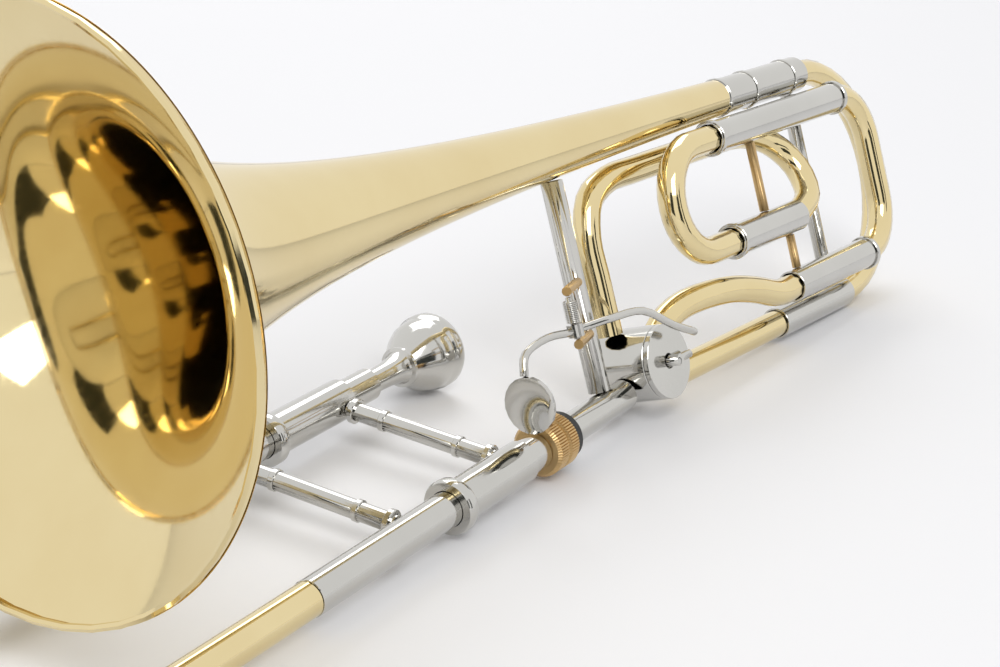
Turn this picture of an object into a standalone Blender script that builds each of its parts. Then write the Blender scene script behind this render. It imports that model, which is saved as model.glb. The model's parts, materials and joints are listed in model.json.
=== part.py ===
"""Bass trombone with an F attachment, lying on a table.

Lengths are metres. The slide frame has X along the slide towards the player, Y from the
bell-side tube to the mouthpiece-side tube and Z up. The bell frame is turned from it about the
pivot where the bell brace stands on the neck pipe. Its places are (x, s, w): x along the
bell, s up the bell plane and w out of that plane.
"""
import math

import bmesh
import bpy
from mathutils import Matrix, Vector

MM = 0.001
FIT_GAP = 0.3 * MM
WALL = 0.5 * MM
SIDES = 20

# Slide
SLIDE_SPACING = 102.8 * MM
SLEEVE_R = 8.3 * MM
OUTER_TUBE_R = 7.9 * MM
INNER_TUBE_R = OUTER_TUBE_R - WALL - FIT_GAP
BARREL_R = 10.2 * MM
BARREL_FRONT = -134.0 * MM
BARREL_REAR = -78.0 * MM
BARREL_RIM_R = 13.0 * MM
BARREL_RIM_LENGTH = 7.0 * MM
SLEEVE_FRONT = -244.0 * MM
SLEEVE_INSERTION = 14.0 * MM
SLIDE_FRONT = -755.0 * MM
CROOK_R = SLIDE_SPACING / 2
BRACE_R = 4.5 * MM
INNER_BRACE_X = -84.0 * MM
OUTER_BRACE_X = -167.4 * MM
BUMPER_R = 6.0 * MM

# Neck
TENON_R = 8.8 * MM
NUT_R = 13.4 * MM
NUT_FRONT = -64.0 * MM
NUT_LENGTH = 19.0 * MM
RING_R = 12.0 * MM
RING_LENGTH = 4.0 * MM
NECK_R = 7.8 * MM
NECK_REAR = 20.6 * MM

# Mouthpiece
MOUTHPIECE_RIM_X = 5.0 * MM
MOUTHPIECE_R = 19.9 * MM
CUP_LENGTH = 31.0 * MM
SHANK_R = 6.3 * MM
RECEIVER_R = 8.3 * MM
RECEIVER_REAR = -54.8 * MM

# Bell section
BELL_YAW = math.radians(-3.72)
BELL_PITCH = math.radians(2.14)
BELL_LEAN = math.radians(66.93)
BELL_AXIS_S = 129.0 * MM
BELL_RIM_R = 120.65 * MM
BELL_RIM_X = -343.2 * MM
BELL_TAIL_X = 164.0 * MM
BELL_TAIL_R = 10.0 * MM
BELL_WALL = 0.7 * MM
FLARE_SHIFT = 60.0 * MM
FLARE_POWER = 1.15
RIM_WIRE_R = 1.6 * MM
LEG_R = 8.6 * MM
LEG_WALL = 0.9 * MM
BOW_R = LEG_R - LEG_WALL - FIT_GAP
LEG_REAR = 257.0 * MM
LEG_LENGTH = 60.0 * MM
FERRULE = 3.0 * MM
MAIN_BOW_R = BELL_AXIS_S / 2
BELL_BRACE_R = 5.6 * MM

# Valve and F attachment
VALVE_X = 40.0 * MM
VALVE_S = 12.0 * MM
VALVE_R = 19.0 * MM
VALVE_WALL = 2.0 * MM
VALVE_BACK = -16.0 * MM
VALVE_FRONT = 14.0 * MM
CAP = 3.0 * MM
F_W = 16.0 * MM
F_TOP_S = 111.0 * MM
F_MID_S = 55.5 * MM
F_LOW_S = 19.5 * MM
F_TOP_FRONT = 124.0 * MM
F_TOP_REAR = 266.0 * MM
F_MID_REAR = 196.0 * MM
F_LOW_FRONT = 175.0 * MM
RISER_W = -6.0
LEVER_AXIS = (-30.0 * MM, 52.0 * MM, 16.0 * MM)
STOP_ARM_LENGTH = 14.0 * MM
SPRING_TURNS = 12
SPRING_R = 3.1 * MM
SPRING_WIRE_R = 0.35 * MM

# Place of the whole, so that the origin is under the middle of its box
ORIGIN_X = 245.907 * MM
ORIGIN_Y = -66.742 * MM
TABLE_LIFT = 1.294 * MM


def material(name, color, roughness, metallic):
    """One plain finish."""
    mat = bpy.data.materials.new(name)
    mat.use_nodes = True
    bsdf = mat.node_tree.nodes["Principled BSDF"]
    bsdf.inputs["Base Color"].default_value = (*color, 1.0)
    bsdf.inputs["Roughness"].default_value = roughness
    bsdf.inputs["Metallic"].default_value = metallic
    mat.diffuse_color = (*color, 1.0)
    return mat


for old in list(bpy.data.objects):
    bpy.data.objects.remove(old)
COLLECTION = bpy.data.collections.new("bass_trombone")
bpy.context.scene.collection.children.link(COLLECTION)
BRASS = (0.80, 0.62, 0.28)
NICKEL = (0.72, 0.71, 0.68)
RUBBER = (0.03, 0.03, 0.03)


def bell_matrix():
    """The bell frame in the slide frame, with columns for x, w and s."""
    turn = Matrix.Rotation(BELL_PITCH, 4, "Y") @ Matrix.Rotation(BELL_YAW, 4, "Z")
    along = Vector((1.0, 0.0, 0.0))
    up = Vector((0.0, math.cos(BELL_LEAN), math.sin(BELL_LEAN)))
    out = Vector((0.0, -math.sin(BELL_LEAN), math.cos(BELL_LEAN)))
    lean = Matrix((along, -out, up)).transposed().to_4x4()
    return turn @ lean


def rest_matrix():
    """The slide frame turned so that its three lowest points stand on the table."""
    bell = bell_matrix()
    mouthpiece = Vector((MOUTHPIECE_RIM_X - 3.0 * MM, SLIDE_SPACING, -MOUTHPIECE_R))
    bow = bell @ Vector((LEG_REAR + 12.0 * MM, 0.0, -BOW_R))
    crook = Vector((SLIDE_FRONT - 15.0 * MM, 0.0, -OUTER_TUBE_R))
    normal = (mouthpiece - crook).cross(bow - crook)
    if normal.z < 0:
        normal.negate()
    turn = normal.rotation_difference(Vector((0.0, 0.0, 1.0))).to_matrix().to_4x4()
    lift = TABLE_LIFT - (turn @ crook).z
    return Matrix.Translation((ORIGIN_X, ORIGIN_Y, lift)) @ turn


def frame(name, matrix, parent=None):
    """An empty that carries a group of pieces."""
    empty = bpy.data.objects.new(name, None)
    COLLECTION.objects.link(empty)
    empty.parent = parent
    empty.matrix_local = matrix
    return empty


REST = frame("rest_frame", rest_matrix())
BELL = frame("bell_frame", bell_matrix(), REST)


def bell_place(x, s, w):
    """A place in the bell section as a vector of the bell frame."""
    return Vector((x, -w, s))


def finish(obj, mat, parent):
    """Give the object its finish, frame and smooth shading."""
    COLLECTION.objects.link(obj)
    obj.parent = parent
    obj.data.materials.append(mat)
    return obj


def turned(name, profile, axis, place, mat, parent, sides=SIDES):
    """A body turned from a closed profile of (along, radius) points about an axis."""
    mesh = bpy.data.meshes.new(name)
    verts = [(radius, 0.0, along) for along, radius in profile]
    edges = [(i, (i + 1) % len(verts)) for i in range(len(verts))]
    if profile[0][1] == 0.0 and profile[-1][1] == 0.0:
        edges.pop()
    mesh.from_pydata(verts, edges, [])
    obj = bpy.data.objects.new(name, mesh)
    screw = obj.modifiers.new("Screw", "SCREW")
    screw.steps = sides
    screw.render_steps = sides
    screw.use_merge_vertices = True
    screw.merge_threshold = 0.00001
    screw.use_smooth_shade = False
    finish(obj, mat, parent)
    obj.rotation_mode = "QUATERNION"
    obj.rotation_quaternion = Vector((0.0, 0.0, 1.0)).rotation_difference(Vector(axis))
    obj.location = place
    return obj


def tube(name, start, end, radius, inner, mat, parent):
    """A straight tube between two points, solid where inner is zero."""
    start = Vector(start)
    end = Vector(end)
    length = (end - start).length
    if inner > 0.0:
        profile = [(length, inner), (length, radius), (0.0, radius), (0.0, inner)]
    else:
        profile = [(length, 0.0), (length, radius), (0.0, radius), (0.0, 0.0)]
    return turned(name, profile, end - start, start, mat, parent)


def pipe(name, points, radius, wall, mat, parent):
    """A bent tube along a smooth row of points."""
    curve = bpy.data.curves.new(name, "CURVE")
    curve.dimensions = "3D"
    curve.bevel_depth = radius
    curve.bevel_resolution = 3
    curve.use_fill_caps = wall == 0.0
    spline = curve.splines.new("POLY")
    spline.points.add(len(points) - 1)
    for point, place in zip(spline.points, points):
        point.co = (*place, 1.0)
    helper = bpy.data.objects.new(name + "_path", curve)
    COLLECTION.objects.link(helper)
    evaluated = helper.evaluated_get(bpy.context.evaluated_depsgraph_get())
    mesh = bpy.data.meshes.new_from_object(evaluated)
    mesh.name = name
    bpy.data.objects.remove(helper)
    weld(mesh)
    obj = bpy.data.objects.new(name, mesh)
    mesh.materials.clear()
    if wall:
        solid = obj.modifiers.new("Wall", "SOLIDIFY")
        solid.thickness = wall
        solid.offset = -1.0
    return finish(obj, mat, parent)


def weld(mesh):
    """Join the doubled points of a curve's mesh and turn its faces outward."""
    bm = bmesh.new()
    bm.from_mesh(mesh)
    bmesh.ops.remove_doubles(bm, verts=bm.verts, dist=0.00001)
    bmesh.ops.recalc_face_normals(bm, faces=bm.faces)
    bm.to_mesh(mesh)
    bm.free()


def arc(center, first, second, radius, start, end, count):
    """Points of an arc from one angle to another in the plane of two directions."""
    points = []
    for i in range(count + 1):
        angle = math.radians(start + (end - start) * i / count)
        points.append(center + first * (radius * math.cos(angle)) + second * (radius * math.sin(angle)))
    return points


def smooth(points, count):
    """Points of a Catmull-Rom curve through the given ones."""
    ends = [2 * points[0] - points[1]] + points + [2 * points[-1] - points[-2]]
    result = []
    for i in range(1, len(ends) - 2):
        a, b, c, d = ends[i - 1:i + 3]
        for k in range(count):
            t = k / count
            result.append(0.5 * (2 * b + (c - a) * t + (2 * a - 5 * b + 4 * c - d) * t ** 2
                                 + (3 * b - a - 3 * c + d) * t ** 3))
    return result + [points[-1]]


def build_mouthpiece(nickel):
    """Mouthpiece with its cup, and the receiver that holds it."""
    rim = MOUTHPIECE_RIM_X
    front = RECEIVER_REAR - 20.0 * MM
    neck = rim - CUP_LENGTH
    cup_r = MOUTHPIECE_R - 5.5 * MM
    profile = [(rim, cup_r), (rim, MOUTHPIECE_R - 1.5 * MM), (rim - 1.5 * MM, MOUTHPIECE_R),
               (rim - 6.0 * MM, MOUTHPIECE_R), (rim - 12.0 * MM, MOUTHPIECE_R - 2.2 * MM),
               (rim - 22.0 * MM, MOUTHPIECE_R - 6.0 * MM), (neck, SHANK_R + 2.0 * MM),
               (neck - 3.0 * MM, SHANK_R), (front, SHANK_R - 0.8 * MM), (front, 4.0 * MM),
               (rim - 24.0 * MM, 4.0 * MM), (rim - 14.0 * MM, cup_r - 3.0 * MM)]
    turned("mouthpiece", profile, (1, 0, 0), (0, SLIDE_SPACING, 0), nickel, REST, 32)
    y = SLIDE_SPACING
    tube("mouthpiece_receiver", (BARREL_REAR + FIT_GAP, y, 0), (RECEIVER_REAR, y, 0),
         RECEIVER_R, SHANK_R + FIT_GAP, nickel, REST)


def build_inner_slide(nickel):
    """The two fixed tubes with their cork barrels and the brace between them."""
    for side, y in (("bell_side", 0.0), ("mouthpiece_side", SLIDE_SPACING)):
        tube("inner_tube_" + side, (SLIDE_FRONT + 6.0 * MM, y, 0), (BARREL_FRONT + 30.0 * MM, y, 0),
             INNER_TUBE_R, INNER_TUBE_R - WALL, nickel, REST)
        hollow = SLEEVE_R + FIT_GAP
        end = BARREL_FRONT + 20.0 * MM
        rim = BARREL_FRONT - BARREL_RIM_LENGTH
        seat = INNER_TUBE_R + FIT_GAP
        profile = [(BARREL_REAR, 5.0 * MM), (BARREL_REAR, BARREL_R), (BARREL_FRONT, BARREL_R),
                   (BARREL_FRONT, BARREL_RIM_R), (rim, BARREL_RIM_R), (rim, hollow),
                   (end, hollow), (end, seat), (BARREL_FRONT + 31.0 * MM, seat),
                   (BARREL_FRONT + 31.0 * MM, 5.0 * MM)]
        turned("cork_barrel_" + side, profile, (1, 0, 0), (0, y, 0), nickel, REST)
    start = BARREL_R + FIT_GAP
    tube("inner_brace", (INNER_BRACE_X, start, 0), (INNER_BRACE_X, SLIDE_SPACING - start, 0),
         BRACE_R, 0.0, nickel, REST)


def build_outer_slide(nickel, brass):
    """The moving slide: sleeves, tubes, crook, hand brace and bumper."""
    join = SLEEVE_FRONT
    rear = BARREL_FRONT + SLEEVE_INSERTION
    for side, y in (("bell_side", 0.0), ("mouthpiece_side", SLIDE_SPACING)):
        tube("slide_sleeve_" + side, (join + FIT_GAP, y, 0), (rear, y, 0), SLEEVE_R,
             INNER_TUBE_R + FIT_GAP, nickel, REST)
        tube("outer_tube_" + side, (SLIDE_FRONT, y, 0), (join, y, 0), OUTER_TUBE_R,
             INNER_TUBE_R + FIT_GAP, brass, REST)
    lead = 3.0 * MM
    center = Vector((SLIDE_FRONT - FIT_GAP - lead, SLIDE_SPACING / 2, 0))
    points = [center + Vector((lead, CROOK_R, 0))]
    points += arc(center, Vector((0, 1, 0)), Vector((-1, 0, 0)), CROOK_R, 0, 180, 18)
    points += [center + Vector((lead, -CROOK_R, 0))]
    pipe("slide_crook", points, OUTER_TUBE_R, WALL, nickel, REST)
    start = SLEEVE_R + FIT_GAP
    tube("hand_brace", (OUTER_BRACE_X, start, 0), (OUTER_BRACE_X, SLIDE_SPACING - start, 0),
         BRACE_R, 0.0, nickel, REST)
    tip = center.x - CROOK_R - OUTER_TUBE_R - FIT_GAP
    tube("slide_bumper", (tip - 7.0 * MM, SLIDE_SPACING / 2, 0), (tip, SLIDE_SPACING / 2, 0),
         BUMPER_R, 0.0, nickel, REST)


def build_neck(nickel, nut_brass, rubber):
    """Tenon, lock nut, rubber ring and neck pipe in line with the bell-side slide tube."""
    tube("slide_tenon", (BARREL_REAR + FIT_GAP, 0, 0), (NUT_FRONT - FIT_GAP, 0, 0), TENON_R,
         6.0 * MM, nickel, REST)
    nut_rear = NUT_FRONT + NUT_LENGTH
    tube("slide_lock_nut", (NUT_FRONT, 0, 0), (nut_rear, 0, 0), NUT_R, NECK_R + FIT_GAP,
         nut_brass, REST)
    ring = nut_rear + FIT_GAP
    tube("neck_ring", (ring, 0, 0), (ring + RING_LENGTH, 0, 0), RING_R, NECK_R + FIT_GAP,
         rubber, REST)
    tube("neck_pipe", (NUT_FRONT, 0, 0), (NECK_REAR, 0, 0), NECK_R, NECK_R - WALL, nickel, REST)


def bell_radius(x):
    """Outer radius of the flare, falling with a power of the distance from the rim."""
    tail = (BELL_TAIL_X - BELL_RIM_X + FLARE_SHIFT) ** -FLARE_POWER
    near = (x - BELL_RIM_X + FLARE_SHIFT) ** -FLARE_POWER
    rim = FLARE_SHIFT ** -FLARE_POWER
    return BELL_TAIL_R + (BELL_RIM_R - BELL_TAIL_R) * (near - tail) / (rim - tail)


def build_bell(brass, nickel):
    """Flared bell with its rim wire and the sleeve at its tail."""
    count = 22
    span = BELL_TAIL_X - BELL_RIM_X
    places = [BELL_RIM_X + span * (i / count) ** 2.2 for i in range(count + 1)]
    outer = [(x, bell_radius(x)) for x in places]
    inner = [(x, bell_radius(x) - BELL_WALL) for x in places]
    turned("bell", outer[::-1] + inner, (1, 0, 0), bell_place(0, BELL_AXIS_S, 0), brass, BELL, 48)
    ring = [(BELL_RIM_X - FIT_GAP - RIM_WIRE_R + RIM_WIRE_R * math.cos(a),
             BELL_RIM_R - RIM_WIRE_R + RIM_WIRE_R * math.sin(a))
            for a in [math.radians(60 * i) for i in range(6)]]
    turned("bell_rim_wire", ring, (1, 0, 0), bell_place(0, BELL_AXIS_S, 0), brass, BELL, 48)
    tube("bell_tail_sleeve", bell_place(BELL_TAIL_X + FIT_GAP, BELL_AXIS_S, 0),
         bell_place(LEG_REAR - FERRULE, BELL_AXIS_S, 0), LEG_R + 1.4 * MM, BOW_R + FIT_GAP,
         nickel, BELL)


def build_main_tuning(brass, nickel):
    """Lower leg, the brass tube from the valve and the sliding main bow."""
    start = VALVE_X + VALVE_R - FIT_GAP
    join = LEG_REAR - LEG_LENGTH - 20.0 * MM
    tube("valve_outlet_tube", bell_place(start, 0, 0), bell_place(join - FIT_GAP, 0, 0), BOW_R,
         BOW_R - WALL, brass, BELL)
    tube("lower_leg", bell_place(join, 0, 0), bell_place(LEG_REAR, 0, 0), LEG_R,
         BOW_R + FIT_GAP, nickel, BELL)
    inside = LEG_REAR - LEG_LENGTH
    center = bell_place(LEG_REAR + 2.0 * MM, MAIN_BOW_R, 0)
    points = [bell_place(inside, 0, 0)]
    points += arc(center, Vector((0, 0, -1)), Vector((1, 0, 0)), MAIN_BOW_R, 0, 180, 20)
    points += [bell_place(inside, BELL_AXIS_S, 0)]
    pipe("main_tuning_bow", points, BOW_R, WALL, brass, BELL)


def build_f_attachment(brass, nickel):
    """The extra tubing: outer legs, front slide, rear bow, feed pipes."""
    w = F_W
    tube("f_top_leg", bell_place(F_TOP_FRONT, F_TOP_S, w), bell_place(F_TOP_REAR, F_TOP_S, w),
         LEG_R, BOW_R + FIT_GAP, nickel, BELL)
    tube("f_middle_leg", bell_place(F_TOP_FRONT, F_MID_S, w), bell_place(F_MID_REAR, F_MID_S, w),
         LEG_R, BOW_R + FIT_GAP, nickel, BELL)
    tube("f_lower_leg", bell_place(F_LOW_FRONT, F_LOW_S, w), bell_place(F_TOP_REAR, F_LOW_S, w),
         LEG_R, BOW_R + FIT_GAP, nickel, BELL)
    radius = (F_TOP_S - F_MID_S) / 2
    center = bell_place(F_TOP_FRONT - 20.0 * MM, (F_TOP_S + F_MID_S) / 2, w)
    points = [bell_place(F_TOP_FRONT + 45.0 * MM, F_TOP_S, w)]
    points += arc(center, Vector((0, 0, 1)), Vector((-1, 0, 0)), radius, 0, 180, 16)
    points += [bell_place(F_TOP_FRONT + 45.0 * MM, F_MID_S, w)]
    pipe("f_tuning_bow", points, BOW_R, WALL, brass, BELL)
    corner = 29.0 * MM
    upper = bell_place(F_TOP_REAR, F_TOP_S - corner, w)
    lower = bell_place(F_TOP_REAR, F_LOW_S + corner, w)
    points = [bell_place(F_TOP_REAR - 40.0 * MM, F_TOP_S, w)]
    points += arc(upper, Vector((0, 0, 1)), Vector((1, 0, 0)), corner, 0, 90, 9)
    points += arc(lower, Vector((1, 0, 0)), Vector((0, 0, -1)), corner, 0, 90, 9)
    points += [bell_place(F_TOP_REAR - 40.0 * MM, F_LOW_S, w)]
    pipe("f_rear_bow", points, BOW_R, WALL, brass, BELL)
    knots = [(27.5, 30.8, RISER_W), (27.5, 46.0, RISER_W), (27.5, 62.0, RISER_W),
             (27.5, 80.0, RISER_W), (36.0, 98.0, RISER_W), (55.0, 105.5, RISER_W),
             (80.0, 106.0, RISER_W), (120.0, 106.0, RISER_W), (160.0, 106.0, RISER_W),
             (190.0, 105.0, -5.0), (214.0, 96.0, -1.0), (223.0, 80.0, 7.0), (216.0, 63.0, 14.5),
             (196.5, 55.6, 16.0)]
    route = [bell_place(x * MM, s * MM, w * MM) for x, s, w in knots]
    pipe("f_riser", smooth(route, 3), BOW_R - 0.2 * MM, WALL, brass, BELL)
    knots = [(177.0, 19.5, 16.0), (159.0, 19.8, 16.0), (138.0, 26.5, 15.0), (118.0, 31.5, 13.0),
             (98.0, 33.5, 10.0), (80.0, 32.8, 6.0), (66.0, 28.6, 3.0), (56.1, 23.0, 2.0)]
    route = [bell_place(x * MM, s * MM, w * MM) for x, s, w in knots]
    pipe("f_return_pipe", smooth(route, 4), BOW_R, WALL, brass, BELL)


def build_valve(nickel):
    """Casing, rotor, caps, stop arm and stop pin."""
    base = bell_place(VALVE_X, VALVE_S, 0)
    out = Vector((0, -1, 0))
    inner = VALVE_R - VALVE_WALL
    tube("valve_casing", base + out * VALVE_BACK, base + out * VALVE_FRONT, VALVE_R, inner,
         nickel, BELL)
    tube("valve_rotor", base + out * (VALVE_BACK + 1.0 * MM), base + out * (VALVE_FRONT - 1.0 * MM),
         inner - FIT_GAP, 0.0, nickel, BELL)
    tube("valve_back_cap", base + out * (VALVE_BACK - CAP), base + out * (VALVE_BACK - FIT_GAP),
         VALVE_R, 0.0, nickel, BELL)
    plate = VALVE_FRONT + FIT_GAP
    tube("valve_stop_plate", base + out * plate, base + out * (plate + CAP), VALVE_R, 4.0 * MM,
         nickel, BELL)
    top = plate + CAP + 1.0 * MM
    tube("rotor_spindle", base + out * (VALVE_FRONT - 0.7 * MM), base + out * (top + 6.0 * MM),
         3.0 * MM, 0.0, nickel, BELL)
    place = bell_place(VALVE_X + STOP_ARM_LENGTH, VALVE_S, 0) + out * (top + 2.2 * MM)
    start = bell_place(VALVE_X + 3.4 * MM, VALVE_S, 0) + out * (top + 2.2 * MM)
    tube("stop_arm", start, place, 2.2 * MM, 0.0, nickel, BELL)


def build_lever(nickel, brass):
    """Thumb lever on its hinge, with the saddle and rod that carry it."""
    x, s, w = LEVER_AXIS
    for name, low in (("saddle_upper", s + 12.0 * MM), ("saddle_lower", s - 14.0 * MM)):
        start = bell_place(-BELL_BRACE_R * 0.7, low, BELL_BRACE_R * 0.8 + FIT_GAP)
        pipe("lever_" + name, [start, bell_place(x, low, w)], 2.4 * MM, 0.0, brass, BELL)
    tube("lever_hinge_rod", bell_place(x, s - 11.0 * MM, w), bell_place(x, s + 9.0 * MM, w),
         1.6 * MM, 0.0, nickel, BELL)
    bar = s - 7.0 * MM
    tube("lever_hub", bell_place(x, bar - 3.0 * MM, w), bell_place(x, bar + 3.0 * MM, w), 4.0 * MM,
         1.6 * MM + FIT_GAP, nickel, BELL)
    knots = [(x + 4.6 * MM, bar, w), (-8.0 * MM, bar, w + 6.0 * MM),
             (14.0 * MM, bar - 2.0 * MM, w + 10.0 * MM), (34.0 * MM, bar - 14.0 * MM, w + 12.0 * MM),
             (52.0 * MM, bar - 22.0 * MM, w + 12.0 * MM)]
    pipe("lever_arm", smooth([bell_place(*k) for k in knots], 4), 2.0 * MM, 0.0, nickel, BELL)
    knots = [(x - 4.6 * MM, bar, w), (x - 24.0 * MM, bar + 2.0 * MM, w),
             (x - 42.0 * MM, bar - 1.0 * MM, w), (x - 47.0 * MM, bar - 10.2 * MM, w)]
    pipe("thumb_bar", smooth([bell_place(*k) for k in knots], 4), 2.0 * MM, 0.0, nickel, BELL)
    center = x - 47.5 * MM
    drop = bar - 24.0 * MM
    tube("thumb_plate", bell_place(center - 1.3 * MM, drop, w), bell_place(center + 1.3 * MM, drop, w),
         13.5 * MM, 0.0, nickel, BELL)
    build_spring(nickel)


def build_spring(nickel):
    """Return spring wound round the lever's hinge rod."""
    x, s, w = LEVER_AXIS
    steps = 9
    low = s - 3.2 * MM
    height = 10.5 * MM
    points = []
    for i in range(SPRING_TURNS * steps + 1):
        angle = 2.0 * math.pi * i / steps
        rise = low + height * i / (SPRING_TURNS * steps)
        points.append(bell_place(x + SPRING_R * math.cos(angle), rise, w + SPRING_R * math.sin(angle)))
    pipe("lever_spring", points, SPRING_WIRE_R, 0.0, nickel, BELL)


def build_braces(nickel, brass):
    """Fixed rods that tie the tubes of the bell section together."""
    low = NECK_R + 0.6 * MM
    high = BELL_AXIS_S - bell_radius(0.0) - 0.6 * MM
    tube("bell_brace", bell_place(0, low, 0), bell_place(0, high, 0), BELL_BRACE_R, 0.0, nickel, BELL)
    x = LEG_REAR - 14.0 * MM
    tube("rear_brace", bell_place(x, LEG_R + FIT_GAP, 0),
         bell_place(x, BELL_AXIS_S - LEG_R - 2.0 * MM, 0), 4.0 * MM, 0.0, nickel, BELL)
    x = F_TOP_FRONT + 40.0 * MM
    tube("f_upper_brace", bell_place(x, F_MID_S + LEG_R + FIT_GAP, F_W),
         bell_place(x, F_TOP_S - LEG_R - FIT_GAP, F_W), 2.6 * MM, 0.0, brass, BELL)
    x = F_LOW_FRONT + 10.0 * MM
    tube("f_lower_brace", bell_place(x, F_LOW_S + LEG_R + FIT_GAP, F_W),
         bell_place(x, F_MID_S - LEG_R - FIT_GAP, F_W), 2.4 * MM, 0.0, brass, BELL)


def main():
    """Build every sub-part."""
    brass = material("lacquered_brass", BRASS, 0.12, 1.0)
    nickel = material("nickel", NICKEL, 0.12, 1.0)
    nut_brass = material("raw_brass", (0.62, 0.42, 0.18), 0.35, 1.0)
    rubber = material("rubber", RUBBER, 0.6, 0.0)
    build_mouthpiece(nickel)
    build_inner_slide(nickel)
    build_outer_slide(nickel, brass)
    build_neck(nickel, nut_brass, rubber)
    build_bell(brass, nickel)
    build_main_tuning(brass, nickel)
    build_f_attachment(brass, nickel)
    build_valve(nickel)
    build_lever(nickel, brass)
    build_braces(nickel, brass)
    bpy.context.view_layer.update()


main()
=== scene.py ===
"""Bass trombone on a pale table, dressed around its fixed CAD frame.

Lengths are metres, apart from the tables of tubes and rings, which are millimetres and say so.
Places in the slide section are (along the slide, across its two tubes, up).
Places in the bell section are (along the bell, up the bell plane, out of the bell plane).
"""

import json
import logging
from dataclasses import dataclass, field
from enum import Enum

import bmesh
import bpy
import numpy as np
from mathutils import Matrix, Vector


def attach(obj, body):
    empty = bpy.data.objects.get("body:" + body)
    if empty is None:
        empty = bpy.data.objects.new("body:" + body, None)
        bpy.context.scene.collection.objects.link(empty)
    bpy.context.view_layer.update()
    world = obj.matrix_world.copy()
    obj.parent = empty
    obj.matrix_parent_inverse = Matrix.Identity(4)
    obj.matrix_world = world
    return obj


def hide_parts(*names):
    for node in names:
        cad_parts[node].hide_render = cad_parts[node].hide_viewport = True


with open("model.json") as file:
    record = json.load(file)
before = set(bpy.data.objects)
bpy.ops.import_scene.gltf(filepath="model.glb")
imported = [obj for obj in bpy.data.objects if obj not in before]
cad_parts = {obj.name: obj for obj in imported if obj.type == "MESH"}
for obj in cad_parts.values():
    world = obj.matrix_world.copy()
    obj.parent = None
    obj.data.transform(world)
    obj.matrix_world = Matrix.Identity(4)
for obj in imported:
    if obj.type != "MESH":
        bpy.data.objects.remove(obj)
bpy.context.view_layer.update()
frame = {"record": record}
LOG = logging.getLogger("bass_trombone")

Place = tuple[float, float, float]
Profile = list[tuple[float, float]]

MM = 0.001

SLIDE_FRAME = Matrix((
    (0.9999550581, -0.0002154186, -0.0094766987, 0.2459069937),
    (-0.0002154185, 0.9989671111, -0.0454382822, -0.0667420030),
    (0.0094766999, 0.0454382859, 0.9989221096, 0.0164825432),
    (0.0, 0.0, 0.0, 1.0)))
BELL_FRAME = Matrix((
    (0.9975193143, 0.0485500656, 0.0509703569, 0.2459069937),
    (-0.0633351952, 0.9350243807, 0.3488809466, -0.0667420030),
    (-0.0307203382, -0.3512437046, 0.9357798100, 0.0164825432),
    (0.0, 0.0, 0.0, 1.0)))

ALONG: Place = (1.0, 0.0, 0.0)
ACROSS: Place = (0.0, 1.0, 0.0)
OUTWARD: Place = (0.0, 0.0, 1.0)

SLIDE_SPACING = 102.8
BELL_AXIS = 129.0
LOOP_PLANE = 16.0
TUBE_STEPS = 64
BELL_STEPS = 160
EASED_EDGE = 0.25 * MM
RING_EDGE = 0.4 * MM


class Section(Enum):
    """The two rigid halves of the instrument, each with its own frame."""

    SLIDE = "slide"
    BELL = "bell"


@dataclass(frozen=True)
class Finish:
    """A metal or rubber finish with variation, wear and fine relief."""

    name: str
    color: Place
    worn: Place
    roughness: float
    spread: float
    metallic: float
    relief: float
    grain: float
    cloud_scale: float = 22.0
    cloud_detail: float = 4.0
    grain_detail: float = 3.0
    grain_low: float = 0.35
    grain_high: float = 0.7
    relief_depth: float = 0.0002

    def build(self) -> bpy.types.Material:
        """Make the node material.

        Returns:
            The material, its patterns on object coordinates.
        """
        mat = bpy.data.materials.new(self.name)
        mat.use_nodes = True
        nodes, links = mat.node_tree.nodes, mat.node_tree.links
        shader = nodes["Principled BSDF"]
        shader.inputs["Metallic"].default_value = self.metallic
        place = nodes.new("ShaderNodeTexCoord")
        clouds = nodes.new("ShaderNodeTexNoise")
        clouds.inputs["Scale"].default_value = self.cloud_scale
        clouds.inputs["Detail"].default_value = self.cloud_detail
        fine = nodes.new("ShaderNodeTexNoise")
        fine.inputs["Scale"].default_value = self.grain
        fine.inputs["Detail"].default_value = self.grain_detail
        links.new(place.outputs["Object"], clouds.inputs["Vector"])
        links.new(place.outputs["Object"], fine.inputs["Vector"])
        tone = nodes.new("ShaderNodeMix")
        tone.data_type = "RGBA"
        tone.inputs["A"].default_value = (*self.color, 1.0)
        tone.inputs["B"].default_value = (*self.worn, 1.0)
        links.new(clouds.outputs["Fac"], tone.inputs["Factor"])
        links.new(tone.outputs["Result"], shader.inputs["Base Color"])
        polish = nodes.new("ShaderNodeMapRange")
        polish.inputs["From Min"].default_value = self.grain_low
        polish.inputs["From Max"].default_value = self.grain_high
        polish.inputs["To Min"].default_value = self.roughness
        polish.inputs["To Max"].default_value = self.roughness + self.spread
        links.new(fine.outputs["Fac"], polish.inputs["Value"])
        links.new(polish.outputs["Result"], shader.inputs["Roughness"])
        bump = nodes.new("ShaderNodeBump")
        bump.inputs["Strength"].default_value = self.relief
        bump.inputs["Distance"].default_value = self.relief_depth
        links.new(fine.outputs["Fac"], bump.inputs["Height"])
        links.new(bump.outputs["Normal"], shader.inputs["Normal"])
        return mat


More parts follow.
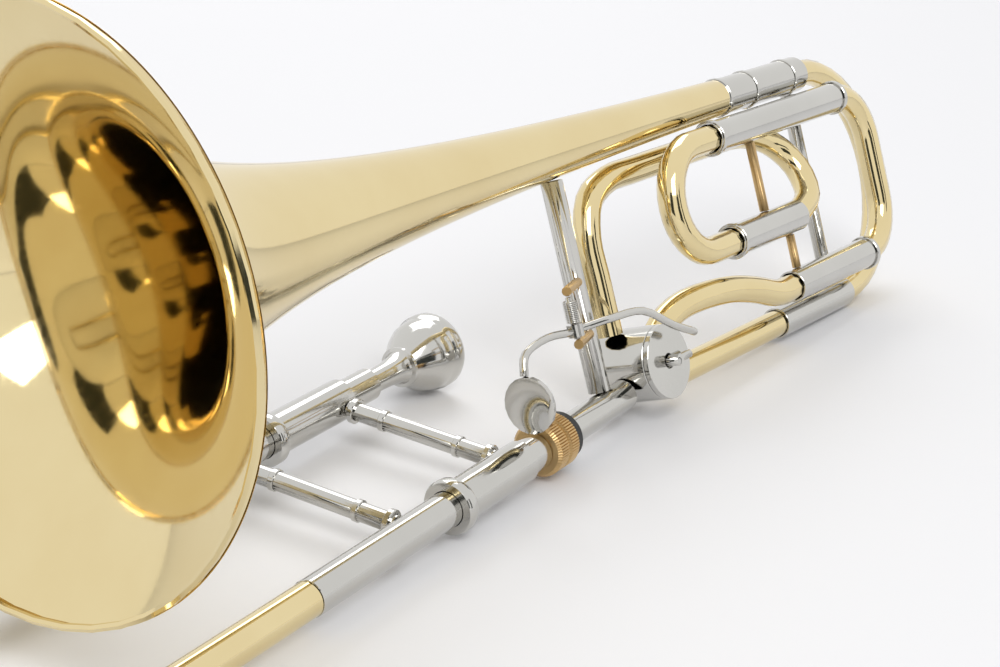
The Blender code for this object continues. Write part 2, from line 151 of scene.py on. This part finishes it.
BRASS = Finish("lacquered_brass", color=(0.80, 0.68, 0.40), worn=(0.72, 0.58, 0.31),
               roughness=0.06, spread=0.04, metallic=1.0, relief=0.01, grain=300.0)
NICKEL = Finish("polished_nickel", color=(0.62, 0.61, 0.58), worn=(0.52, 0.51, 0.48),
                roughness=0.08, spread=0.06, metallic=1.0, relief=0.02, grain=500.0)
RAW_BRASS = Finish("raw_brass", color=(0.66, 0.46, 0.22), worn=(0.50, 0.34, 0.16),
                   roughness=0.28, spread=0.15, metallic=1.0, relief=0.15, grain=700.0)
RUBBER = Finish("black_rubber", color=(0.02, 0.02, 0.02), worn=(0.04, 0.04, 0.04),
                roughness=0.55, spread=0.2, metallic=0.0, relief=0.3, grain=900.0)


def into_world(section: Section, points: np.ndarray) -> np.ndarray:
    """Turn places of one section into world coordinates.

    Args:
        section: The half of the instrument.
        points: Places as rows, in the section's own order.

    Returns:
        World places as rows.
    """
    if section is Section.BELL:
        points = np.stack([points[:, 0], -points[:, 2], points[:, 1]], axis=1)
    matrix = np.array(SLIDE_FRAME if section is Section.SLIDE else BELL_FRAME)
    return points @ matrix[:3, :3].T + matrix[:3, 3]


def add_object(name: str, mesh: bpy.types.Mesh) -> bpy.types.Object:
    """Link a mesh into the scene as an object at the origin.

    Args:
        name: The object's name.
        mesh: Its mesh.

    Returns:
        The new object.
    """
    obj = bpy.data.objects.new(name, mesh)
    bpy.context.scene.collection.objects.link(obj)
    return obj


def soften(mesh: bpy.types.Mesh, crease: float, merge: float = 0.0) -> None:
    """Turn a mesh's faces outward and shade it smooth between its creases.

    Args:
        mesh: The mesh, changed in place.
        crease: Edges sharper than this angle, in degrees, stay sharp.
        merge: Points closer than this are joined first, none where zero.
    """
    work = bmesh.new()
    work.from_mesh(mesh)
    if merge:
        bmesh.ops.remove_doubles(work, verts=work.verts, dist=merge)
    bmesh.ops.recalc_face_normals(work, faces=work.faces)
    work.to_mesh(mesh)
    work.free()
    mesh.shade_smooth()
    mesh.set_sharp_from_angle(angle=np.radians(crease))


def mesh_from_grid(name: str, grid: np.ndarray, crease: float = 35.0) -> bpy.types.Object:
    """Make a closed ring of rings into a mesh object with smooth faces.

    Args:
        name: The piece's name.
        grid: Places with shape (rings, steps round, 3), closed both ways.
        crease: Edges sharper than this angle, in degrees, stay sharp.

    Returns:
        The new object, at the origin.
    """
    rings, steps = grid.shape[:2]
    row = np.arange(rings)[:, None]
    step = np.arange(steps)[None, :]
    after = (step + 1) % steps
    below = (row + 1) % rings
    corners = [row * steps + step, row * steps + after,
               below * steps + after, below * steps + step]
    faces = np.stack([np.broadcast_to(c, (rings, steps)) for c in corners], axis=-1)
    mesh = bpy.data.meshes.new(name)
    mesh.from_pydata(grid.reshape(-1, 3).tolist(), [], faces.reshape(-1, 4).tolist())
    soften(mesh, crease)
    return add_object(name, mesh)


@dataclass(frozen=True)
class Grooves:
    """Grooves that run along a turned piece's widest bands.

    Only rings within the share rim of the widest radius are cut.
    """

    count: int = 0
    depth: float = 0.0
    rim: float = 0.97


def revolve(name: str, section: Section, center: Place, profile: Profile, axis: Place = ALONG,
            steps: int = TUBE_STEPS, grooves: Grooves = Grooves()) -> bpy.types.Object:
    """Turn a closed profile about an axis.

    A point is center + axis * along + radius * (cos angle, sin angle). The radius is less by the
    grooves' depth times the positive part of a cosine with their number round.

    Args:
        name: The piece's name.
        section: The half of the instrument that the places are in.
        center: A place on the axis, where along is zero.
        profile: Pairs of (along, radius), closed.
        axis: Direction of the axis.
        steps: Faces round the axis.
        grooves: Grooves cut into the widest bands.

    Returns:
        The new object.
    """
    line = np.array(axis) / np.linalg.norm(axis)
    side = np.cross(line, ALONG if axis == OUTWARD else OUTWARD)
    side /= np.linalg.norm(side)
    third = np.cross(line, side)
    angle = np.linspace(0.0, 2.0 * np.pi, steps, endpoint=False)
    along = np.array([p[0] for p in profile])
    radius = np.array([p[1] for p in profile])[:, None]
    band = radius > grooves.rim * radius.max()
    wave = np.clip(np.cos(grooves.count * angle), 0.0, 1.0)[None, :]
    radius = radius - grooves.depth * wave * band
    ring = np.cos(angle)[:, None] * side + np.sin(angle)[:, None] * third
    grid = np.array(center) + along[:, None, None] * line + radius[:, :, None] * ring[None]
    world = into_world(section, grid.reshape(-1, 3)).reshape(grid.shape)
    return mesh_from_grid(name, world)


def metres(rows: tuple[tuple[float, float], ...]) -> Profile:
    """Turn rows of (along, radius) from millimetres into a profile in metres."""
    return [(along * MM, radius * MM) for along, radius in rows]


def tube_profile(start: float, end: float, outer: float, inner: float) -> Profile:
    """Profile of a tube with slightly eased outer edges.

    Args:
        start: Where it starts along its axis.
        end: Where it ends along its axis.
        outer: Outer radius.
        inner: Radius of its bore.

    Returns:
        The closed profile.
    """
    return [(start, inner), (start, outer - EASED_EDGE), (start + EASED_EDGE, outer),
            (end - EASED_EDGE, outer), (end, outer - EASED_EDGE), (end, inner)]


def ring_profile(inner: float, outer: float, length: float) -> Profile:
    """Profile of a ring with chamfered outer edges, centred along its axis.

    Args:
        inner: Radius of its bore.
        outer: Outer radius.
        length: Its length along the axis.

    Returns:
        The closed profile.
    """
    half = length / 2.0
    return [(-half, inner), (-half, outer - RING_EDGE), (-half + RING_EDGE, outer),
            (half - RING_EDGE, outer), (half, outer - RING_EDGE), (half, inner)]


@dataclass
class Dresser:
    """Puts finishes on pieces, sets what carries them and reports them."""

    finishes: dict[str, bpy.types.Material] = field(default_factory=dict)
    bodies: dict[str, str] = field(default_factory=dict)

    def __post_init__(self) -> None:
        """Build the finishes and note which body carries each node."""
        for finish in (BRASS, NICKEL, RAW_BRASS, RUBBER):
            self.finishes[finish.name] = finish.build()
        for body, nodes in frame["record"]["behaviour"]["bodies"].items():
            for node in nodes:
                self.bodies[node] = body

    def dress(self, obj: bpy.types.Object, finish: Finish, body: str) -> None:
        """Give a piece its finish and the body it rides on.

        Args:
            obj: The piece.
            finish: Its finish.
            body: The body that carries it.
        """
        obj.data.materials.clear()
        obj.data.materials.append(self.finishes[finish.name])
        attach(obj, body)
        LOG.info("%s rides on %s", obj.name, body)

    def stand_in(self, obj: bpy.types.Object, node: str, finish: Finish) -> None:
        """Let a piece stand for one CAD node, and dress it.

        Args:
            obj: The piece.
            node: The node that it replaces.
            finish: Its finish.
        """
        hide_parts(node)
        self.dress(obj, finish, self.bodies[node])


@dataclass(frozen=True)
class Tube:
    """A straight tube that stands for one CAD node, in millimetres."""

    node: str
    center: Place
    start: float
    end: float
    outer: float
    inner: float
    finish: Finish = NICKEL

    def build(self, dresser: Dresser, section: Section, axis: Place = ALONG) -> None:
        """Turn the tube in place of its node.

        Args:
            dresser: Holds the finishes and bodies.
            section: The half of the instrument.
            axis: Direction of the tube.
        """
        x, second, third = self.center
        profile = tube_profile(self.start * MM, self.end * MM, self.outer * MM, self.inner * MM)
        obj = revolve(self.node + "_turned", section, (x * MM, second * MM, third * MM),
                      profile, axis)
        dresser.stand_in(obj, self.node, self.finish)


@dataclass
class BentTubesAndRods:
    """The bows, bent pipes, rods and small parts, as merged copies of their solids."""

    crease: float = 32.0
    merge: float = 0.000002
    brass: tuple[str, ...] = (
        "bell_rim_wire", "main_tuning_bow", "f_tuning_bow", "f_rear_bow", "f_riser",
        "f_return_pipe")
    raw: tuple[str, ...] = (
        "lever_saddle_upper", "lever_saddle_lower", "f_upper_brace", "f_lower_brace")
    turned_anew: tuple[str, ...] = (
        "slide_lock_nut", "bell", "slide_sleeve_bell_side", "slide_sleeve_mouthpiece_side",
        "outer_tube_bell_side", "outer_tube_mouthpiece_side", "cork_barrel_bell_side",
        "cork_barrel_mouthpiece_side", "mouthpiece", "mouthpiece_receiver", "neck_pipe",
        "slide_tenon", "neck_ring", "bell_tail_sleeve", "lower_leg", "f_top_leg",
        "f_middle_leg", "f_lower_leg", "valve_outlet_tube", "valve_casing", "valve_back_cap",
        "valve_stop_plate")

    def build(self, dresser: Dresser) -> None:
        """Copy, merge and dress each node that isn't turned anew.

        Args:
            dresser: Holds the finishes and bodies.
        """
        for node in dresser.bodies:
            if node in self.turned_anew:
                continue
            mesh = bpy.data.objects[node].data.copy()
            soften(mesh, self.crease, self.merge)
            dresser.stand_in(add_object(node + "_surface", mesh), node, self.finish_of(node))

    def finish_of(self, node: str) -> Finish:
        """Give the finish of a node's copy."""
        if node in self.brass:
            return BRASS
        return RAW_BRASS if node in self.raw else NICKEL


@dataclass
class Slide:
    """Sleeves, outer tubes and cork barrels on both sides, in millimetres."""

    sleeve_r: float = 8.3
    tube_r: float = 7.9
    bore_r: float = 7.4
    sleeve_span: tuple[float, float] = (-243.7, -120.0)
    tube_span: tuple[float, float] = (-755.0, -244.0)
    barrel: tuple[tuple[float, float], ...] = (
        (-78.0, 5.0), (-78.0, 9.6), (-78.6, 10.2), (-134.0, 10.2), (-134.3, 12.4),
        (-135.4, 13.0), (-139.6, 13.0), (-141.0, 12.2), (-141.0, 8.6), (-114.0, 8.6),
        (-114.0, 7.4), (-103.0, 7.4), (-103.0, 5.0))

    def build(self, dresser: Dresser) -> None:
        """Turn both sides of the slide.

        Args:
            dresser: Holds the finishes and bodies.
        """
        for side, across in (("bell_side", 0.0), ("mouthpiece_side", SLIDE_SPACING)):
            center = (0.0, across, 0.0)
            Tube("slide_sleeve_" + side, center, *self.sleeve_span, self.sleeve_r,
                 self.bore_r).build(dresser, Section.SLIDE)
            Tube("outer_tube_" + side, center, *self.tube_span, self.tube_r, self.bore_r,
                 BRASS).build(dresser, Section.SLIDE)
            node = "cork_barrel_" + side
            barrel = revolve(node + "_turned", Section.SLIDE, (0.0, across * MM, 0.0),
                             metres(self.barrel))
            dresser.stand_in(barrel, node, NICKEL)


@dataclass
class Neck:
    """Tenon, rubber ring and neck pipe in line with the bell-side slide tube."""

    tubes: tuple[Tube, ...] = (
        Tube("slide_tenon", (0.0, 0.0, 0.0), -77.7, -64.3, 8.8, 6.0),
        Tube("neck_ring", (0.0, 0.0, 0.0), -44.7, -40.7, 12.0, 8.1, RUBBER),
        Tube("neck_pipe", (0.0, 0.0, 0.0), -64.0, 20.6, 7.8, 7.3))

    def build(self, dresser: Dresser) -> None:
        """Turn each tube of the neck."""
        for tube in self.tubes:
            tube.build(dresser, Section.SLIDE)


@dataclass
class Mouthpiece:
    """Mouthpiece with cup, rounded rim, bead and tapered shank, and its receiver."""

    receiver: Tube = Tube("mouthpiece_receiver", (0.0, SLIDE_SPACING, 0.0),
                          -77.7, -54.8, 8.3, 6.6)
    profile: tuple[tuple[float, float], ...] = (
        (4.0, 14.0), (5.0, 15.2), (5.0, 17.6), (4.2, 19.2), (2.6, 19.9), (-2.0, 19.9),
        (-3.4, 19.0), (-5.0, 18.8), (-10.0, 18.2), (-14.0, 16.6), (-18.0, 14.4),
        (-22.0, 11.8), (-25.0, 9.6), (-25.6, 10.4), (-27.4, 10.4), (-28.0, 8.6),
        (-31.0, 7.2), (-40.0, 6.3), (-74.8, 5.5), (-74.8, 4.0), (-19.0, 4.0),
        (-15.0, 6.5), (-9.0, 11.4), (-2.0, 13.3))

    def build(self, dresser: Dresser) -> None:
        """Turn the receiver and the mouthpiece.

        Args:
            dresser: Holds the finishes and bodies.
        """
        self.receiver.build(dresser, Section.SLIDE)
        obj = revolve("mouthpiece_turned", Section.SLIDE, (0.0, SLIDE_SPACING * MM, 0.0),
                      metres(self.profile))
        dresser.stand_in(obj, "mouthpiece", NICKEL)


@dataclass
class StraightTubing:
    """Tail sleeve, lower leg, valve tube and the extra loop's legs."""

    tubes: tuple[Tube, ...] = (
        Tube("bell_tail_sleeve", (0.0, BELL_AXIS, 0.0), 164.3, 254.0, 10.0, 7.7),
        Tube("lower_leg", (0.0, 0.0, 0.0), 177.0, 257.0, 8.6, 7.7),
        Tube("valve_outlet_tube", (0.0, 0.0, 0.0), 58.7, 176.7, 7.4, 6.9, BRASS),
        Tube("f_top_leg", (0.0, 111.0, LOOP_PLANE), 124.0, 266.0, 8.6, 7.7),
        Tube("f_middle_leg", (0.0, 55.5, LOOP_PLANE), 124.0, 196.0, 8.6, 7.7),
        Tube("f_lower_leg", (0.0, 19.5, LOOP_PLANE), 175.0, 266.0, 8.6, 7.7))

    def build(self, dresser: Dresser) -> None:
        """Turn each tube of the bell section."""
        for tube in self.tubes:
            tube.build(dresser, Section.BELL)


@dataclass
class Valve:
    """Casing, stop plate and back cap, turned about the rotor's axis."""

    tubes: tuple[Tube, ...] = (
        Tube("valve_casing", (40.0, 12.0, 0.0), -16.0, 14.0, 19.0, 17.0),
        Tube("valve_stop_plate", (40.0, 12.0, 0.0), 14.3, 17.3, 19.0, 4.0),
        Tube("valve_back_cap", (40.0, 12.0, 0.0), -19.0, -16.3, 19.0, 0.01))

    def build(self, dresser: Dresser) -> None:
        """Turn each round part of the valve."""
        for tube in self.tubes:
            tube.build(dresser, Section.BELL, OUTWARD)


@dataclass
class Bell:
    """The flare, whose radius falls with a power of the distance from its rim."""

    rim_x: float = -343.2 * MM
    tail_x: float = 164.0 * MM
    tail_r: float = 10.0 * MM
    widening: float = 110.65 * MM
    shift: float = 60.0 * MM
    power: float = 1.15
    wall: float = 0.7 * MM
    rings: int = 90

    def build(self, dresser: Dresser) -> None:
        """Turn the bell.

        Args:
            dresser: Holds the finishes and bodies.
        """
        obj = revolve("bell_turned", Section.BELL, (0.0, BELL_AXIS * MM, 0.0), self.profile(),
                      steps=BELL_STEPS)
        dresser.stand_in(obj, "bell", BRASS)

    def profile(self) -> Profile:
        """Work out the flare.

        The radius is the tail's plus the widening times (d ** -power - last) / (first - last),
        where d is the distance from the rim plus shift, and first and last are that power at the
        rim and at the tail. Rings lie closer together near the rim, as the square of their count.

        Returns:
            The closed profile, outside from tail to rim, then inside from rim to tail.
        """
        x = self.rim_x + (self.tail_x - self.rim_x) * np.linspace(0.0, 1.0, self.rings) ** 2.0
        near = (x - self.rim_x + self.shift) ** -self.power
        last = (self.tail_x - self.rim_x + self.shift) ** -self.power
        radius = self.tail_r + self.widening * (near - last) / (self.shift ** -self.power - last)
        outer = list(zip(x[::-1].tolist(), radius[::-1].tolist()))
        return outer + list(zip(x.tolist(), (radius - self.wall).tolist()))


@dataclass
class Ferrules:
    """Turned rings that finish the ends of tubes and braces, in millimetres."""

    length: float = 3.0
    leg_r: float = 8.65
    leg_ring_r: float = 9.7
    tail_r: float = 10.05
    tail_ring_r: float = 10.7
    brace_r: float = 4.6
    end_ring_r: float = 6.2
    inner_ring_r: float = 5.2
    ring_gap: float = 17.0
    braces: tuple[tuple[str, float, str, float], ...] = (
        ("inner_brace_ring", -84.0, "body", 12.0),
        ("hand_brace_ring", -167.4, "outer_slide", 10.2))
    leg_ends: tuple[tuple[str, float, float], ...] = (
        ("top_front", 126.0, 111.0), ("top_rear", 264.0, 111.0),
        ("middle_front", 126.0, 55.5), ("lower_rear", 264.0, 19.5))
    tail_places: tuple[tuple[str, float], ...] = (
        ("front", 166.5), ("middle", 196.0), ("rear", 240.0))

    def build(self, dresser: Dresser) -> None:
        """Make every ring.

        Args:
            dresser: Holds the finishes and bodies.
        """
        for name, x, body, inset in self.braces:
            self.brace_ends(dresser, name, x, body, inset)
        for name, x, up in self.leg_ends:
            ring = self.ring("leg_ring_" + name, Section.BELL, (x, up, LOOP_PLANE),
                             (self.leg_r, self.leg_ring_r), ALONG)
            dresser.dress(ring, NICKEL, "body")
        for name, x in self.tail_places:
            ring = self.ring("tail_ring_" + name, Section.BELL, (x, BELL_AXIS, 0.0),
                             (self.tail_r, self.tail_ring_r), ALONG)
            dresser.dress(ring, NICKEL, "body")

    def ring(self, name: str, section: Section, place: Place, radii: tuple[float, float],
             axis: Place) -> bpy.types.Object:
        """Turn one ring.

        Args:
            name: Its name.
            section: The half of the instrument.
            place: Its middle, in millimetres.
            radii: Radius of its bore and its outer radius, in millimetres.
            axis: Direction of its axis.

        Returns:
            The ring.
        """
        center = (place[0] * MM, place[1] * MM, place[2] * MM)
        profile = ring_profile(radii[0] * MM, radii[1] * MM, self.length * MM)
        return revolve(name, section, center, profile, axis)

    def brace_ends(self, dresser: Dresser, name: str, x: float, body: str,
                   inset: float) -> None:
        """Make two pairs of rings on a slide brace.

        Args:
            dresser: Holds the finishes and bodies.
            name: Start of the rings' names.
            x: The brace's place along the slide.
            body: The body that carries the brace.
            inset: Distance of the end ring from the tube's axis.
        """
        for side, origin, sign in (("near", 0.0, 1.0), ("far", SLIDE_SPACING, -1.0)):
            for row, gap, radius in (("end", 0.0, self.end_ring_r),
                                     ("inner", self.ring_gap, self.inner_ring_r)):
                place = (x, origin + sign * (inset + self.length / 2.0 + gap), 0.0)
                ring = self.ring(f"{name}_{side}_{row}", Section.SLIDE, place,
                                 (self.brace_r, radius), ACROSS)
                dresser.dress(ring, NICKEL, body)


@dataclass
class LockNut:
    """The knurled nut that holds slide and bell section together."""

    front: float = -64.0 * MM
    length: float = 19.0 * MM
    outer: float = 13.4 * MM
    inner: float = 8.2 * MM
    chamfer: float = 1.6 * MM
    groove_top: tuple[float, float] = (0.42, 0.58)
    groove_floor: tuple[float, float] = (0.46, 0.54)
    knurls: int = 60
    knurl_depth: float = 0.6 * MM
    steps_per_knurl: int = 4

    def build(self, dresser: Dresser) -> None:
        """Make the nut in place of its plain node.

        Args:
            dresser: Holds the finishes and bodies.
        """
        end = self.length
        lip = self.outer - self.chamfer
        profile = [
            (0.0, self.inner), (0.0, lip), (self.chamfer, self.outer),
            (end * self.groove_top[0], self.outer), (end * self.groove_floor[0], lip),
            (end * self.groove_floor[1], lip), (end * self.groove_top[1], self.outer),
            (end - self.chamfer, self.outer), (end, lip), (end, self.inner)]
        nut = revolve("knurled_nut", Section.SLIDE, (self.front, 0.0, 0.0), profile,
                      steps=self.knurls * self.steps_per_knurl,
                      grooves=Grooves(self.knurls, self.knurl_depth))
        dresser.stand_in(nut, "slide_lock_nut", RAW_BRASS)


@dataclass(frozen=True)
class Card:
    """A dark card that metal reflects and the camera doesn't see."""

    name: str
    center: Place
    width: float
    height: float

    def build(self) -> None:
        """Stand the card so that it faces the instrument."""
        inward = -Vector(self.center)
        inward.z = 0.0
        side = inward.normalized().cross(Vector(OUTWARD)) * (self.width / 2.0)
        up = Vector((0.0, 0.0, self.height / 2.0))
        middle = Vector(self.center)
        mesh = bpy.data.meshes.new(self.name)
        mesh.from_pydata([middle - side - up, middle + side - up,
                          middle + side + up, middle - side + up], [], [(0, 1, 2, 3)])
        mesh.materials.append(plain_material(self.name, (0.03, 0.035, 0.03), 0.9))
        obj = add_object(self.name, mesh)
        obj.visible_camera = False
        obj.visible_shadow = False
        obj.visible_diffuse = False


@dataclass(frozen=True)
class Lamp:
    """A soft square lamp aimed at the instrument."""

    name: str
    place: Place
    power: float
    size: float

    def build(self) -> None:
        """Hang the lamp."""
        light = bpy.data.lights.new(self.name, "AREA")
        light.energy = self.power
        light.size = self.size
        obj = bpy.data.objects.new(self.name, light)
        obj.location = self.place
        obj.rotation_mode = "QUATERNION"
        obj.rotation_quaternion = (-Vector(self.place)).to_track_quat("-Z", "Y")
        bpy.context.scene.collection.objects.link(obj)


def plain_material(name: str, color: Place, roughness: float) -> bpy.types.Material:
    """Make an even material for the studio.

    Args:
        name: Its name.
        color: Its colour.
        roughness: Its roughness.

    Returns:
        The material.
    """
    mat = bpy.data.materials.new(name)
    mat.use_nodes = True
    shader = mat.node_tree.nodes["Principled BSDF"]
    shader.inputs["Base Color"].default_value = (*color, 1.0)
    shader.inputs["Roughness"].default_value = roughness
    return mat


@dataclass
class Studio:
    """Pale floor, soft lamps, dark reflection cards and the camera.

    The camera's place and directions are in the slide frame.
    """

    floor_size: float = 8.0
    floor_color: Place = (0.93, 0.93, 0.95)
    floor_roughness: float = 0.6
    unseen_light: float = 0.55
    seen_light: float = 1.0
    cards: tuple[Card, ...] = (
        Card("dark_card_left", (-1.9, -0.9, 0.7), 0.9, 1.8),
        Card("dark_card_front", (-0.3, -2.2, 0.7), 0.8, 1.2),
        Card("dark_card_side", (0.7, -2.0, 0.6), 0.35, 1.2))
    lamps: tuple[Lamp, ...] = (
        Lamp("key", (-1.2, -1.6, 2.2), 34.0, 1.4),
        Lamp("fill", (1.6, 1.2, 2.0), 20.0, 1.6))
    lens: float = 80.19
    sensor: float = 36.0
    eye: Place = (-0.89099, -0.44943, 0.45042)
    right: Place = (0.52466, -0.84757, 0.07977)
    down: Place = (-0.28971, -0.26587, -0.91945)
    forward: Place = (0.80050, 0.45929, -0.38504)

    def build(self) -> None:
        """Make the whole studio."""
        self.world()
        self.floor()
        for item in self.cards + self.lamps:
            item.build()
        self.camera()

    def world(self) -> None:
        """White background, with the same white in reflections and dim light elsewhere."""
        world = bpy.data.worlds.new("studio")
        bpy.context.scene.world = world
        world.use_nodes = True
        nodes, links = world.node_tree.nodes, world.node_tree.links
        path = nodes.new("ShaderNodeLightPath")
        seen = nodes.new("ShaderNodeMath")
        seen.operation = "MAXIMUM"
        links.new(path.outputs["Is Camera Ray"], seen.inputs[0])
        links.new(path.outputs["Is Glossy Ray"], seen.inputs[1])
        level = nodes.new("ShaderNodeMapRange")
        level.inputs["To Min"].default_value = self.unseen_light
        level.inputs["To Max"].default_value = self.seen_light
        links.new(seen.outputs["Value"], level.inputs["Value"])
        background = nodes["Background"]
        background.inputs["Color"].default_value = (1.0, 1.0, 1.0, 1.0)
        links.new(level.outputs["Result"], background.inputs["Strength"])

    def floor(self) -> None:
        """A wide pale table top."""
        half = self.floor_size / 2.0
        mesh = bpy.data.meshes.new("table_top")
        mesh.from_pydata([(-half, -half, 0.0), (half, -half, 0.0),
                          (half, half, 0.0), (-half, half, 0.0)], [], [(0, 1, 2, 3)])
        mesh.materials.append(
            plain_material("table_white", self.floor_color, self.floor_roughness))
        add_object("table_top", mesh)

    def camera(self) -> None:
        """Set the camera found by fitting straight edges and circles."""
        data = bpy.data.cameras.new("camera")
        data.lens = self.lens
        data.sensor_width = self.sensor
        data.sensor_fit = "HORIZONTAL"
        obj = bpy.data.objects.new("camera", data)
        columns = (Vector(self.right), -Vector(self.down), -Vector(self.forward))
        turn = Matrix(columns).transposed().to_4x4()
        turn.translation = Vector(self.eye)
        obj.matrix_world = SLIDE_FRAME @ turn
        bpy.context.scene.collection.objects.link(obj)
        bpy.context.scene.camera = obj


def main() -> None:
    """Build and dress every sub-assembly in order."""
    logging.basicConfig(level=logging.INFO)
    bpy.context.scene.view_settings.view_transform = "Standard"
    dresser = Dresser()
    for assembly in (BentTubesAndRods(), Slide(), Neck(), Mouthpiece(), StraightTubing(),
                     Valve(), Bell(), Ferrules(), LockNut()):
        assembly.build(dresser)
    Studio().build()


if __name__ == "__main__":
    main()
